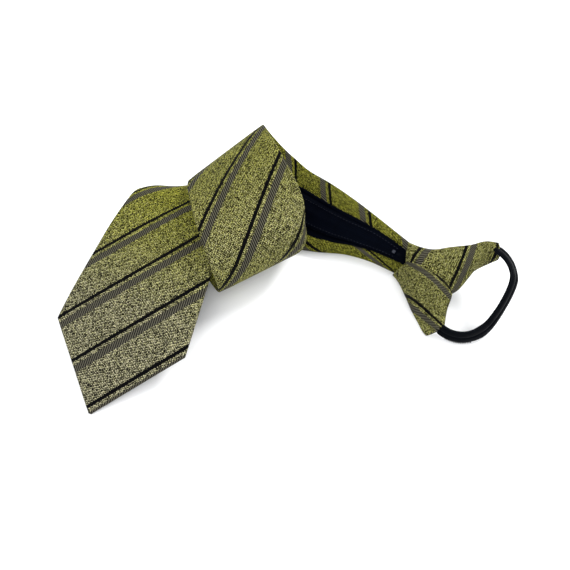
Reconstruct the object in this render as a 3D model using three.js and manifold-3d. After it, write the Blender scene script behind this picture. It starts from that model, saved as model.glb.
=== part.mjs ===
// A zipper tie that lies loosely rolled on a table, back up at the knot and front up at the tip.
// Millimetres, +Z up, and the table is at z = 0. The blade is a flat ribbon that a short list of folds bends.
import * as THREE from "three";
import { mergeVertices } from "three/addons/utils/BufferGeometryUtils.js";
import Module from "manifold-3d";

// The flat blade
const BLADE_LENGTH = 511;
const BLADE_WIDTH = 80;
const TIP_LENGTH = 43.8;
const GATHER_START = 409;
const GATHER_WIDTH = 53.5;
const NECK_WIDTH = 24.7;
const CLOTH_THICKNESS = 1.5;
const HEM_WIDTH = 15;
const HEM_THICKNESS = 1.1;
const EDGE_ROUNDING = 0.6;
const HEM_SLOPE = 0.4;
const LINING_THICKNESS = 1;
const LINING_TO_TIP = 26;
const CLEARANCE = 0.3;
const TIP_BLUNTNESS = 2.5;

// The closed tail of the zip, which lies on the lining
const TAIL_LENGTH = 92;
const TAIL_WIDTH = 13;
const TAIL_THICKNESS = 1.4;
const TAIL_TO_KNOT = 13;
const STOP_LENGTH = 2.6;
const STOP_WIDTH = 4;

// The knot, along the blade, across it, and above the table
const KNOT_LENGTH = 46;
const KNOT_SPAN = 62;
const KNOT_HEIGHT = 32;
const BLADE_IN_KNOT = 12;

// The ring of the neck band behind the knot
const RING_DEPTH = 19.5;
const RING_SPAN = 56;
const RING_LOW = 5;
const RING_HIGH = 28;
const RING_START = 88;
const RING_END = -110;
const BAND_WIDTH = 8;
const BAND_THICKNESS = 2.8;
const BAND_LEAN = 35;
const COIL_WIDTH = 1.5;
const COIL_THICKNESS = 1.2;
const COIL_START = -52;
const COIL_END = -86;

// How the blade lies: the tip's place and the direction of the first stretch, in degrees
const TIP_X = -104.7;
const TIP_Y = -83.2;
const TIP_HEADING = 71.8;
const TIP_PITCH = 19.1;
const TIP_ROLL = 1.2;
const SETTLE = 0.5;

// The steps that the faceted solids take
const BLADE_STEP = 5.2;
const BACK_STEPS = 6;
const BAND_STEPS = 42;
const PAD_STEPS = 8;

// Folds of the blade, from the tip to the knot. at: where the fold starts on the axis, as a share of the blade's
// length. skew: the fold line's angle to the straight cross direction. turn: how far the blade bends towards its
// back, in degrees. radius: of the bend, as a share of the blade's width.
const FOLDS = [
  { name: "arch of the tip stretch", at: 0.1144, skew: 39.5, turn: 11.1, radius: 2.23 },
  { name: "curl up to the far fold", at: 0.2157, skew: 14.9, turn: 20.3, radius: 1.434 },
  { name: "far fold over the hidden stretch", at: 0.2809, skew: 25.2, turn: 163.1, radius: 0.1884 },
  { name: "fold that stands on the table", at: 0.442, skew: 4, turn: 147.2, radius: 0.272 },
  { name: "arch of the roll", at: 0.5293, skew: 16.5, turn: 49.8, radius: 0.8466 },
  { name: "far side of the roll", at: 0.6642, skew: 15, turn: 174.2, radius: 0.321 },
  { name: "lift towards the knot", at: 0.8178, skew: 38, turn: -33.4, radius: 1.0122 },
];

// Sections of the knot's pieces, from the blade to the neck. Each is a chord from edge a to edge b, arched
// outwards. Lengths are shares: along of the knot's length, across of its span, up, arch and deep of its height.
const LOWER_WING = [
  { aAlong: -0.05, aAcross: -0.04, aUp: 0.5, bAlong: -0.05, bAcross: -0.15, bUp: 0.05, arch: 0.09, deep: 0.08 },
  { aAlong: 0.17, aAcross: -0.12, aUp: 0.66, bAlong: 0.14, bAcross: -0.2, bUp: 0, arch: 0.15, deep: 0.1 },
  { aAlong: 0.41, aAcross: -0.18, aUp: 0.78, bAlong: 0.34, bAcross: -0.32, bUp: 0, arch: 0.19, deep: 0.11 },
  { aAlong: 0.63, aAcross: -0.2, aUp: 0.7, bAlong: 0.48, bAcross: -0.42, bUp: 0, arch: 0.2, deep: 0.11 },
  { aAlong: 0.78, aAcross: -0.24, aUp: 0.5, bAlong: 0.62, bAcross: -0.5, bUp: 0, arch: 0.17, deep: 0.1 },
  { aAlong: 0.83, aAcross: -0.35, aUp: 0.38, bAlong: 0.73, bAcross: -0.56, bUp: 0, arch: 0.13, deep: 0.09 },
  { aAlong: 0.87, aAcross: -0.46, aUp: 0.27, bAlong: 0.81, bAcross: -0.6, bUp: 0.05, arch: 0.09, deep: 0.08 },
];
const UPPER_WING = [
  { aAlong: -0.05, aAcross: 0.12, aUp: 0.56, bAlong: -0.03, bAcross: -0.06, bUp: 0.4, arch: 0.08, deep: 0.1 },
  { aAlong: 0.15, aAcross: 0.11, aUp: 0.63, bAlong: 0.17, bAcross: -0.17, bUp: 0.46, arch: 0.11, deep: 0.12 },
  { aAlong: 0.33, aAcross: 0.12, aUp: 0.71, bAlong: 0.42, bAcross: -0.24, bUp: 0.48, arch: 0.13, deep: 0.14 },
  { aAlong: 0.5, aAcross: 0.2, aUp: 0.8, bAlong: 0.65, bAcross: -0.26, bUp: 0.42, arch: 0.13, deep: 0.15 },
  { aAlong: 0.7, aAcross: 0.29, aUp: 0.89, bAlong: 0.81, bAcross: -0.06, bUp: 0.4, arch: 0.12, deep: 0.15 },
  { aAlong: 0.85, aAcross: 0.38, aUp: 0.94, bAlong: 0.88, bAcross: 0.16, bUp: 0.47, arch: 0.11, deep: 0.14 },
  { aAlong: 0.98, aAcross: 0.44, aUp: 0.94, bAlong: 1.06, bAcross: 0.37, bUp: 0.66, arch: 0.09, deep: 0.12 },
];
const CORE = [
  { aAlong: -0.04, aAcross: 0.12, aUp: 0.42, bAlong: -0.04, bAcross: -0.14, bUp: 0.05, arch: 0.1, deep: 0.08 },
  { aAlong: 0.3, aAcross: 0.14, aUp: 0.54, bAlong: 0.3, bAcross: -0.26, bUp: 0, arch: 0.16, deep: 0.3 },
  { aAlong: 0.55, aAcross: 0.22, aUp: 0.66, bAlong: 0.5, bAcross: -0.4, bUp: 0, arch: 0.14, deep: 0.38 },
  { aAlong: 0.8, aAcross: 0.34, aUp: 0.76, bAlong: 0.7, bAcross: -0.52, bUp: 0.04, arch: 0.06, deep: 0.24 },
];

const wasm = await Module();
wasm.setup();

const radians = THREE.MathUtils.degToRad;

// Half of the blade's width at the distance v from the tip.
function halfWidth(v) {
  if (v < TIP_LENGTH) return (BLADE_WIDTH / 2) * (v / TIP_LENGTH);
  const [from, to, wide, narrow] = v < GATHER_START
    ? [TIP_LENGTH, GATHER_START, BLADE_WIDTH, GATHER_WIDTH]
    : [GATHER_START, BLADE_LENGTH, GATHER_WIDTH, NECK_WIDTH];
  return (wide + (narrow - wide) * (v - from) / (to - from)) / 2;
}

function hemWidth(v) {
  return Math.min(HEM_WIDTH, 0.45 * halfWidth(v));
}

// Takes a point of the flat blade (u across, v from the tip, h above the middle of the cloth, towards the front)
// through the folds, from the knot's side to the tip's.
function bend(u, v, h) {
  let [x, y, z] = [u, v, h];
  for (const fold of [...FOLDS].reverse()) {
    const at = fold.at * BLADE_LENGTH;
    const radius = fold.radius * BLADE_WIDTH;
    const most = Math.abs(radians(fold.turn));
    const side = fold.turn > 0 ? -1 : 1;
    const [c, s] = [Math.cos(radians(fold.skew)), Math.sin(radians(fold.skew))];
    const passed = -u * s + (v - at) * c;
    const angle = THREE.MathUtils.clamp(passed / radius, 0, most);
    const along = x * c + (y - at) * s;
    const across = -x * s + (y - at) * c - radius * angle;
    const above = z - side * radius;
    const turned = across * Math.cos(angle) - side * above * Math.sin(angle);
    x = along * c - turned * s;
    y = at + along * s + turned * c;
    z = side * across * Math.sin(angle) + above * Math.cos(angle) + side * radius;
  }
  return new THREE.Vector3(x, y, z);
}

// The tip stretch's own axes on the table: v leads up from the tip, u is to its right, and n is the front.
function tipAxes() {
  const [heading, pitch, roll] = [TIP_HEADING, TIP_PITCH, TIP_ROLL].map(radians);
  const ahead = new THREE.Vector3(
    Math.cos(heading) * Math.cos(pitch), Math.sin(heading) * Math.cos(pitch), Math.sin(pitch));
  const level = new THREE.Vector3(Math.sin(heading), -Math.cos(heading), 0);
  const above = new THREE.Vector3().crossVectors(level, ahead);
  const right = level.clone().multiplyScalar(Math.cos(roll)).addScaledVector(above, Math.sin(roll));
  return new THREE.Matrix4().makeBasis(right, ahead, new THREE.Vector3().crossVectors(right, ahead));
}

const lay = tipAxes();

// The lowest point of the folded blade, before it is set down on the table.
function lowestPoint() {
  let low = Infinity;
  for (let v = TIP_BLUNTNESS; v <= BLADE_LENGTH; v += 1) {
    for (const h of [CLOTH_THICKNESS / 2, -CLOTH_THICKNESS / 2 - HEM_THICKNESS]) {
      for (const side of spread(-1, 1, 8)) {
        low = Math.min(low, bend(side * (halfWidth(v) - EDGE_ROUNDING), v, h).applyMatrix4(lay).z);
      }
    }
  }
  return low;
}

const drop = lowestPoint() + SETTLE;

// A point of the flat blade, laid on the table. Cloth that would pass the table is flattened on it.
function place(u, v, h) {
  const point = bend(u, v, h).applyMatrix4(lay).add(new THREE.Vector3(TIP_X, TIP_Y, -drop));
  point.z = Math.max(point.z, 0);
  return point;
}

// A closed body from loops of points, one loop at each station, with flat ends. A loop starts with the points
// of its upper side, as many as the lower side has, and the same number of edge points stands between them.
// On both sides the diagonals lean the way that the fold lines lean.
function skin(loops, upper) {
  const count = loops[0].length;
  const points = loops.flat();
  const faces = [];
  for (let i = 0; i + 1 < loops.length; i += 1) {
    for (let j = 0; j < count; j += 1) {
      const k = (j + 1) % count;
      const [a, b, c, d] = [i * count + j, i * count + k, (i + 1) * count + k, (i + 1) * count + j];
      faces.push(...(j < upper ? [a, b, c, a, c, d] : [a, b, d, b, c, d]));
    }
  }
  for (const [start, flip] of [[0, true], [(loops.length - 1) * count, false]]) {
    for (const [a, b, c] of endFaces(count, upper)) {
      faces.push(start + a, start + (flip ? c : b), start + (flip ? b : c));
    }
  }
  return outward(points, faces);
}

// Triangles that close a loop: a strip between its upper and lower sides, and a fan over each edge's points.
function endFaces(count, upper) {
  const edge = (count - 2 * upper) / 2;
  const lower = (k) => upper + edge + (upper - 1 - k);
  const faces = [];
  for (let k = 0; k + 1 < upper; k += 1) {
    faces.push([k, k + 1, lower(k + 1)], [k, lower(k + 1), lower(k)]);
  }
  for (const [start, first] of [[upper - 1, upper], [lower(0), count - edge]]) {
    for (let i = 0; i < edge; i += 1) {
      faces.push([start, (first + i) % count, (first + i + 1) % count]);
    }
  }
  return faces;
}

function volume(points, faces) {
  let total = 0;
  for (let i = 0; i < faces.length; i += 3) {
    const [a, b, c] = [points[faces[i]], points[faces[i + 1]], points[faces[i + 2]]];
    total += a.dot(new THREE.Vector3().crossVectors(b, c)) / 6;
  }
  return total;
}

function outward(points, faces) {
  const geometry = new THREE.BufferGeometry().setFromPoints(points);
  const order = volume(points, faces) < 0 ? [...faces].reverse() : faces;
  geometry.setIndex(order);
  return geometry;
}

function stations(from, to, step) {
  const count = Math.max(2, Math.round((to - from) / step));
  return Array.from({ length: count + 1 }, (_, i) => from + (to - from) * i / count);
}

function spread(from, to, steps) {
  return Array.from({ length: steps + 1 }, (_, i) => from + (to - from) * i / steps);
}

// The section of the outer cloth: a flat front, rounded edges, and the two hems turned back.
function shellSection(v) {
  const edge = halfWidth(v);
  const hem = edge - hemWidth(v);
  const round = Math.min(EDGE_ROUNDING, edge / 3);
  const slope = Math.min(HEM_SLOPE, hem / 3);
  const front = CLOTH_THICKNESS / 2;
  const back = -CLOTH_THICKNESS / 2;
  const under = back - HEM_THICKNESS;
  const half = [edge - round, (edge + hem) / 2, hem];
  const sides = [...half.map((u) => -u), ...spread(-hem + slope, hem - slope, BACK_STEPS), ...half.reverse()];
  const behind = sides.map((u) => [u, Math.abs(u) < hem ? back : under]).reverse();
  return [...sides.map((u) => [u, front]), [edge, (front + under) / 2], ...behind, [-edge, (front + under) / 2]];
}

const along = [TIP_BLUNTNESS, ...stations(TIP_BLUNTNESS * 3, TIP_LENGTH, BLADE_STEP),
  ...stations(TIP_LENGTH, BLADE_LENGTH, BLADE_STEP).slice(1)];

function bladeShell() {
  return skin(along.map((v) => shellSection(v).map(([u, h]) => place(u, v, h))), BACK_STEPS + 7);
}

// A strip on the blade's back, from one distance to another. Its top and bottom are heights above the cloth's
// middle, and it shares the cloth's stations, so that it stays parallel to it.
function backStrip(from, to, half, top, bottom, steps) {
  return skin([from, ...along.filter((v) => v > from + 1 && v < to - 1), to].map((v) => {
    const edge = half(v);
    const upper = spread(-edge, edge, steps).map((u) => place(u, v, top));
    const lower = spread(edge, -edge, steps).map((u) => place(u, v, bottom));
    return [...upper, ...lower];
  }), steps + 1);
}

const liningTop = -CLOTH_THICKNESS / 2 - CLEARANCE;
const liningUnder = liningTop - LINING_THICKNESS;
const tailTop = liningUnder - CLEARANCE;
const tailUnder = tailTop - TAIL_THICKNESS;
const tailEnd = BLADE_LENGTH - TAIL_TO_KNOT;

function bladeLining() {
  const inside = (v) => halfWidth(v) - hemWidth(v) - HEM_SLOPE - CLEARANCE;
  return backStrip(LINING_TO_TIP, BLADE_LENGTH - CLEARANCE, inside, liningTop, liningUnder, BACK_STEPS);
}

function tailHalf(v) {
  return Math.min(TAIL_WIDTH / 2, halfWidth(v) - hemWidth(v) - 2 * CLEARANCE);
}

function zipTail() {
  return backStrip(tailEnd - TAIL_LENGTH, tailEnd, tailHalf, tailTop, tailUnder, 2);
}

function zipTailStop() {
  const middle = tailEnd - STOP_LENGTH;
  const half = () => Math.min(STOP_WIDTH / 2, tailHalf(middle));
  return backStrip(middle - STOP_LENGTH / 2, middle + STOP_LENGTH / 2, half, tailUnder - CLEARANCE,
    tailUnder - CLEARANCE - STOP_WIDTH / 4, 1);
}

// The knot's level frame: its origin is below the blade's end, and x leads on in the blade's direction.
function knotFrame() {
  const end = place(0, BLADE_LENGTH, 0);
  const ahead = end.clone().sub(place(0, BLADE_LENGTH - 1, 0));
  const heading = Math.atan2(ahead.y, ahead.x);
  return new THREE.Matrix4().makeRotationZ(heading).setPosition(end.x, end.y, 0);
}

const knotPlace = knotFrame();

function knotPoint(along, across, up) {
  return new THREE.Vector3(along * KNOT_LENGTH, across * KNOT_SPAN, up * KNOT_HEIGHT).applyMatrix4(knotPlace);
}

// Rows between the given ones, by a smooth curve through each column.
function finerRows(rows, between) {
  const columns = Object.keys(rows[0]);
  const curve = (column, t) => {
    const at = Math.min(Math.floor(t), rows.length - 2);
    const pick = (i) => rows[THREE.MathUtils.clamp(i, 0, rows.length - 1)][column];
    const [p, q, r, s] = [pick(at - 1), pick(at), pick(at + 1), pick(at + 2)];
    const f = t - at;
    return q + 0.5 * f * (r - p + f * (2 * p - 5 * q + 4 * r - s + f * (3 * (q - r) + s - p)));
  };
  return spread(0, rows.length - 1, (rows.length - 1) * between)
    .map((t) => Object.fromEntries(columns.map((column) => [column, curve(column, t)])));
}

// A padded piece of the knot: an arched outer side and a shallower inner side between its two edges.
function padded(rows, grow) {
  const fine = finerRows(rows, 3);
  const middle = fine.map((row) => knotPoint(
    (row.aAlong + row.bAlong) / 2, (row.aAcross + row.bAcross) / 2, (row.aUp + row.bUp) / 2));
  return skin(fine.map((row, i) => {
    const a = knotPoint(row.aAlong, row.aAcross, row.aUp);
    const b = knotPoint(row.bAlong, row.bAcross, row.bUp);
    const ahead = middle[Math.min(i + 1, middle.length - 1)].clone().sub(middle[Math.max(i - 1, 0)]).normalize();
    const chord = b.clone().sub(a);
    const out = new THREE.Vector3().crossVectors(chord, ahead).normalize();
    if (out.z < 0) out.negate();
    const slide = i === 0 ? -grow : i === fine.length - 1 ? grow : 0;
    const at = (share, rise) => {
      const point = a.clone().addScaledVector(chord, share).addScaledVector(out, rise);
      point.addScaledVector(ahead, slide);
      point.z = Math.max(point.z, -grow);
      return point;
    };
    const side = (depth) => spread(0, 1, PAD_STEPS).slice(1, -1)
      .map((t) => at(t, Math.sign(depth) * grow + depth * KNOT_HEIGHT * Math.sqrt(Math.sin(Math.PI * t))));
    const beyond = 1.5 * grow / chord.length();
    return [...side(row.arch), at(1 + beyond, 0), ...side(-row.deep).reverse(), at(-beyond, 0)];
  }), PAD_STEPS - 1);
}

// The neck band's middle line: an arc of an ellipse that comes down from the upper wing to the table.
function ringPoint(degrees) {
  const angle = radians(degrees);
  const x = 0.965 * KNOT_LENGTH + RING_DEPTH * Math.cos(angle);
  const y = -0.075 * KNOT_SPAN + (RING_SPAN / 2) * Math.sin(angle);
  const up = THREE.MathUtils.smoothstep(Math.sin(angle), -0.4, 0.5);
  return new THREE.Vector3(x, y, RING_LOW + (RING_HIGH - RING_LOW) * up).applyMatrix4(knotPlace);
}

// A strip along the neck band. inner and outer are its sides' distances across the band, from the middle.
function ringStrip(fromDegrees, toDegrees, near, far, thickness, steps, grow) {
  const angles = spread(fromDegrees, toDegrees, steps);
  return skin(angles.map((degrees) => {
    const at = ringPoint(degrees);
    const ahead = ringPoint(degrees - 1).sub(ringPoint(degrees + 1)).normalize();
    const level = new THREE.Vector3().crossVectors(ahead, new THREE.Vector3(0, 0, 1)).normalize();
    const above = new THREE.Vector3().crossVectors(level, ahead).normalize();
    const lean = radians(BAND_LEAN);
    const wide = above.clone().multiplyScalar(-Math.cos(lean)).addScaledVector(level, -Math.sin(lean));
    const thin = new THREE.Vector3().crossVectors(wide, ahead).normalize();
    const half = thickness / 2 + grow;
    const corner = Math.min(0.8, half * 0.6);
    const section = [[near + corner, half], [far - corner, half], [far + grow, half - corner],
      [far + grow, -half + corner], [far - corner, -half], [near + corner, -half], [near - grow, -half + corner],
      [near - grow, half - corner]];
    return section.map(([w, t]) => at.clone().addScaledVector(wide, w).addScaledVector(thin, t));
  }), 2);
}

function neckBand(grow = 0) {
  return ringStrip(RING_START, RING_END, -BAND_WIDTH / 2, BAND_WIDTH / 2, BAND_THICKNESS, BAND_STEPS, grow);
}

function zipCoil() {
  const near = BAND_WIDTH / 2 + CLEARANCE;
  return ringStrip(COIL_START, COIL_END, near, near + COIL_WIDTH, COIL_THICKNESS, 12, 0);
}

// The blade's end with room around it, which the knot's pieces leave free.
function bladeRoom() {
  const front = CLOTH_THICKNESS / 2 + CLEARANCE;
  const back = -CLOTH_THICKNESS / 2 - HEM_THICKNESS - CLEARANCE;
  const half = (v) => halfWidth(Math.min(v, BLADE_LENGTH)) + CLEARANCE;
  return backStrip(BLADE_LENGTH - BLADE_IN_KNOT, BLADE_LENGTH + CLEARANCE, half, front, back, 2);
}

function toSolid(geometry) {
  const bare = geometry.clone();
  bare.deleteAttribute("normal");
  bare.deleteAttribute("uv");
  const merged = mergeVertices(bare, 1e-4);
  return new wasm.Manifold(new wasm.Mesh({
    numProp: 3,
    vertProperties: new Float32Array(merged.attributes.position.array),
    triVerts: new Uint32Array(merged.index.array),
  }));
}

function fromSolid(solid) {
  const largest = solid.decompose().sort((a, b) => b.volume() - a.volume())[0];
  const mesh = largest.getMesh();
  const geometry = new THREE.BufferGeometry();
  geometry.setAttribute("position", new THREE.BufferAttribute(new Float32Array(mesh.vertProperties), 3));
  geometry.setIndex(new THREE.BufferAttribute(new Uint32Array(mesh.triVerts), 1));
  return geometry;
}

// One geometry with the room of others cut out of it.
function cut(geometry, rooms) {
  return fromSolid(rooms.reduce((solid, room) => solid.subtract(toSolid(room)), toSolid(geometry)));
}

const clothOfBlade = new THREE.MeshStandardMaterial({ color: 0x8f8a5a, roughness: 0.75, metalness: 0.05 });
const satin = new THREE.MeshStandardMaterial({ color: 0x171a2b, roughness: 0.45, metalness: 0 });
const tape = new THREE.MeshStandardMaterial({ color: 0x14161f, roughness: 0.8, metalness: 0 });
const teeth = new THREE.MeshStandardMaterial({ color: 0x0d0e12, roughness: 0.4, metalness: 0 });
const bright = new THREE.MeshStandardMaterial({ color: 0xb9bcc4, roughness: 0.3, metalness: 0.9 });

const group = new THREE.Group();

function add(name, geometry, material) {
  geometry.computeVertexNormals();
  const mesh = new THREE.Mesh(geometry, material);
  mesh.name = name;
  group.add(mesh);
}

add("blade_shell", bladeShell(), clothOfBlade);
add("blade_lining", bladeLining(), satin);
add("zip_tail", zipTail(), tape);
add("zip_tail_stop", zipTailStop(), bright);

const rooms = [bladeRoom(), neckBand(CLEARANCE)];
add("knot_wing_lower", cut(padded(LOWER_WING, 0), rooms), clothOfBlade);
rooms.push(padded(LOWER_WING, CLEARANCE));
add("knot_wing_upper", cut(padded(UPPER_WING, 0), rooms), clothOfBlade);
rooms.push(padded(UPPER_WING, CLEARANCE));
add("knot_core", cut(padded(CORE, 0), rooms), clothOfBlade);
add("neck_band", neckBand(), tape);
add("zip_coil", zipCoil(), teeth);

// The origin is the middle of the footprint, on the table.
const middle = new THREE.Box3().setFromObject(group).getCenter(new THREE.Vector3());
group.position.set(-middle.x, -middle.y, 0);

export default group;
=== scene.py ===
# %% [markdown]
# # A zipper tie, loosely rolled on a table
# The real thing is one long folded ribbon of mélange cloth, a pre-tied knot, and a black tape that makes
# the ring for the neck. A ribbon that only bends, and never stretches, keeps its weave and its stripes in
# order. So this lesson makes the ribbon flat first, with a place for every thread, and then bends it with
# the same short list of folds that the solid part uses.

# %% Load the solid part
import math
import bpy
import numpy as np
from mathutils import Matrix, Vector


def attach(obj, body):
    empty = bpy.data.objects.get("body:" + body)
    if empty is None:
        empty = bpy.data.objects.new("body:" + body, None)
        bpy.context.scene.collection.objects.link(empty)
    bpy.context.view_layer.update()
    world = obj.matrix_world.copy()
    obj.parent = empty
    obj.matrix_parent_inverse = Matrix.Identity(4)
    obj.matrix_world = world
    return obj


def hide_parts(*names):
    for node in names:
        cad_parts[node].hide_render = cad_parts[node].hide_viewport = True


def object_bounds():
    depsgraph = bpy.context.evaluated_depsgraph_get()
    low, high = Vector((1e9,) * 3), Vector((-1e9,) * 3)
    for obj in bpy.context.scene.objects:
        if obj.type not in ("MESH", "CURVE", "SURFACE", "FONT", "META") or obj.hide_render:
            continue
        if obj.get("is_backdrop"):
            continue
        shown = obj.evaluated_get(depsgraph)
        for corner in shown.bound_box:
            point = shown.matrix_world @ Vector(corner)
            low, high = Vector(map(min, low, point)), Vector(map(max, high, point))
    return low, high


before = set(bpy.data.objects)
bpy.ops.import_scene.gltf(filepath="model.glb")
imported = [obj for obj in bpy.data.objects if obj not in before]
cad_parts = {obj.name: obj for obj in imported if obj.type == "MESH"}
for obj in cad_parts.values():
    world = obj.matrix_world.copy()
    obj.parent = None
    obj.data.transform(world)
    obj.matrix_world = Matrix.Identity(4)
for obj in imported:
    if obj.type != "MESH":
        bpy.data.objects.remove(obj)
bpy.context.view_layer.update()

# %% [markdown]
# ## Sizes of the flat ribbon
# All sizes are in millimetres, as a tie maker would write them, and become metres only when a mesh is
# made. The folds are given as shares of the blade's length and width. Each row has the place where the
# fold starts, the lean of its line, how far it turns towards the back, and how tight it is. The shift
# puts the origin under the middle of the whole tie.

# %% Sizes and folds
MM = 0.001
BLADE_LENGTH, BLADE_WIDTH, TIP_LENGTH = 511, 80, 43.8
GATHER_START, GATHER_WIDTH, NECK_WIDTH = 409, 53.5, 24.7
CLOTH_THICKNESS, HEM_WIDTH, HEM_THICKNESS, SETTLE = 1.5, 15, 1.1, 0.5
INTO_KNOT, FLOOR_GAP = 8, 0.02
FRONT = CLOTH_THICKNESS / 2
BACK = -CLOTH_THICKNESS / 2
UNDER = BACK - HEM_THICKNESS
FOLDS = [
    (0.1144, 39.5, 11.1, 2.23),
    (0.2157, 14.9, 20.3, 1.434),
    (0.2809, 25.2, 163.1, 0.1884),
    (0.442, 4, 147.2, 0.272),
    (0.5293, 16.5, 49.8, 0.8466),
    (0.6642, 15, 174.2, 0.321),
    (0.8178, 38, -33.4, 1.0122)]
TIP_HEADING, TIP_PITCH, TIP_ROLL = 71.8, 19.1, 1.2
SHIFT = np.array([-1.72, -8.56])
TIP_PLACE = np.array([-104.7, -83.2]) + SHIFT
print("folds:", len(FOLDS), "turns in all:", round(sum(turn for _, _, turn, _ in FOLDS)), "degrees")

# %% [markdown]
# ## From the flat ribbon to the roll
# A sheet can be bent round a cylinder without stretching. Each fold is one such cylinder, and the folds
# are applied from the knot's end back to the tip, because a fold carries everything that comes after it.
# A point of the ribbon is given by u across it, v along it from the tip, and h above the middle of the
# cloth.


# %% Bend the ribbon
def bend(u, v, h):
    u, v, h = (np.asarray(a, float) for a in np.broadcast_arrays(u, v, h))
    x, y, z = u.copy(), v.copy(), h.copy()
    for share, skew, turn, tight in reversed(FOLDS):
        at, radius = share * BLADE_LENGTH, tight * BLADE_WIDTH
        c, s = math.cos(math.radians(skew)), math.sin(math.radians(skew))
        side = -1 if turn > 0 else 1
        angle = np.clip((-u * s + (v - at) * c) / radius, 0, math.radians(abs(turn)))
        along = x * c + (y - at) * s
        across = -x * s + (y - at) * c - radius * angle
        above = z - side * radius
        turned = across * np.cos(angle) - side * above * np.sin(angle)
        x, y = along * c - turned * s, at + along * s + turned * c
        z = side * across * np.sin(angle) + above * np.cos(angle) + side * radius
    return np.stack([x, y, z], -1)


print("knot's end as seen from the tip, mm:", bend(0, BLADE_LENGTH, 0).round(1))


# %% Turn the tip to its place on the table
def tip_axes():
    heading, pitch, roll = (math.radians(a) for a in (TIP_HEADING, TIP_PITCH, TIP_ROLL))
    flat_ahead = np.array([math.cos(heading), math.sin(heading), 0])
    ahead = flat_ahead * math.cos(pitch) + np.array([0, 0, math.sin(pitch)])
    level = np.array([math.sin(heading), -math.cos(heading), 0])
    right = level * math.cos(roll) + np.cross(level, ahead) * math.sin(roll)
    return np.stack([right, ahead, np.cross(right, ahead)])


axes = tip_axes()
print("the way ahead at the tip:", axes[1].round(2))

# %% [markdown]
# ## Widths along the ribbon
# The tip is a triangle. From there the blade narrows slowly, and it is gathered more quickly where it
# goes into the knot. Both hems are folded to the back, and between them lies the lining. Close to the
# knot the tie maker turns back more cloth, so the opening between the hems narrows faster than the blade.

# %% Edges, hems and the opening between them
HEM_SHARE = 0.45


def half_width(v):
    places = [0, TIP_LENGTH, GATHER_START, BLADE_LENGTH]
    return np.interp(v, places, [0, BLADE_WIDTH, GATHER_WIDTH, NECK_WIDTH]) / 2


def hem_width(v):
    return np.minimum(HEM_WIDTH, HEM_SHARE * half_width(v))


def ease(v, start, end):
    share = np.clip((v - start) / (end - start), 0, 1)
    return share * share * (3 - 2 * share)


def hump(v, start, full, fade, end):
    return ease(v, start, full) * (1 - ease(v, fade, end))


RIGHT_HEM_WIDER, RIGHT_HEM_GROWS, LEFT_HEM_GROWS = 5.0, 1.0, 6.2
RIGHT_WIDE_SPAN, RIGHT_GROW_SPAN, LEFT_GROW_SPAN = (380, 420, 446, 500), (470, 514), (462, 514)


def opening(v):
    full = half_width(v) - hem_width(v)
    left = LEFT_HEM_GROWS * ease(v, *LEFT_GROW_SPAN) - full
    right = full - RIGHT_HEM_WIDER * hump(v, *RIGHT_WIDE_SPAN) - RIGHT_HEM_GROWS * ease(v, *RIGHT_GROW_SPAN)
    return left, right


for place in (TIP_LENGTH, GATHER_START, BLADE_LENGTH):
    low, high = opening(place)
    wide, open_part = 2 * float(half_width(place)), float(high - low)
    print("at", place, "mm the blade is", round(wide, 1), "mm wide and open over", round(open_part, 1), "mm")

# %% [markdown]
# ## What soft cloth does besides folding
# Folds alone would look like bent card. On the real tie the free edge of the standing fold curls towards
# the back, the left edge bulges before the knot and is drawn in at the knot, and the far fold is pushed
# out a little. Each is a small move with a soft start and end, so the ribbon stays smooth. The belly and
# the curl act on the flat ribbon, before it is bent, and the push acts on the table. A span holds the
# places along the ribbon, in millimetres from the tip, where such a move starts and is full, and where it
# fades and ends.

# %% Small moves of soft cloth
BELLY, BELLY_SPAN = 0.36, (385, 425, 445, 482)
DRAWN_IN, DRAWN_SPAN = 0.3, (462, 500)


def bellied(u, v):
    out = BELLY * hump(v, *BELLY_SPAN) - DRAWN_IN * ease(v, *DRAWN_SPAN)
    return np.where(u < 0, u * (1 + out), u)


CURL_RADIUS, CURL_WIDTH, NEARLY_FLAT = 10.0, 14.0, 1e-4
CURL_START, CURL_FULL, CURL_FADE, CURL_END = 226, 248, 268, 302


def curled(u, v, h):
    u, v, h = np.broadcast_arrays(u, v, h)
    grown = np.clip((v - CURL_START) / (CURL_FULL - CURL_START), 0, 1)
    grown = grown * np.clip((CURL_END - v) / (CURL_END - CURL_FADE), 0, 1)
    tight = np.maximum(grown * grown * (3 - 2 * grown), NEARLY_FLAT) / CURL_RADIUS
    start = half_width(v) - CURL_WIDTH
    angle = np.maximum(u - start, 0) * tight
    past = u > start
    across = np.where(past, start + (1 / tight + h) * np.sin(angle), u)
    above = np.where(past, h * np.cos(angle) - (1 - np.cos(angle)) / tight, h)
    return across, v, above


PUSH, PUSH_MIDDLE, PUSH_SPREAD, PUSH_SPAN = 6.5, -32, 15, (100, 130, 170, 205)


def slack(u, v):
    pushed = PUSH * np.exp(-((u - PUSH_MIDDLE) / PUSH_SPREAD) ** 2) * hump(v, *PUSH_SPAN)
    heading = math.radians(TIP_HEADING)
    return pushed[..., None] * np.array([math.cos(heading), math.sin(heading)])


left_edge = -float(half_width(435))
print("left edge bulges at 435 mm, mm:", round(left_edge - float(bellied(left_edge, 435)), 1))

# %% [markdown]
# ## The ribbon on the table
# The bent ribbon hangs anywhere in space until its lowest point is known. So the folds are tried once on
# a coarse grid, and the result is lowered until the cloth rests on the table, pressed down a little as
# soft cloth is. Nothing may go through the table, so all heights stop just above it.

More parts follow.
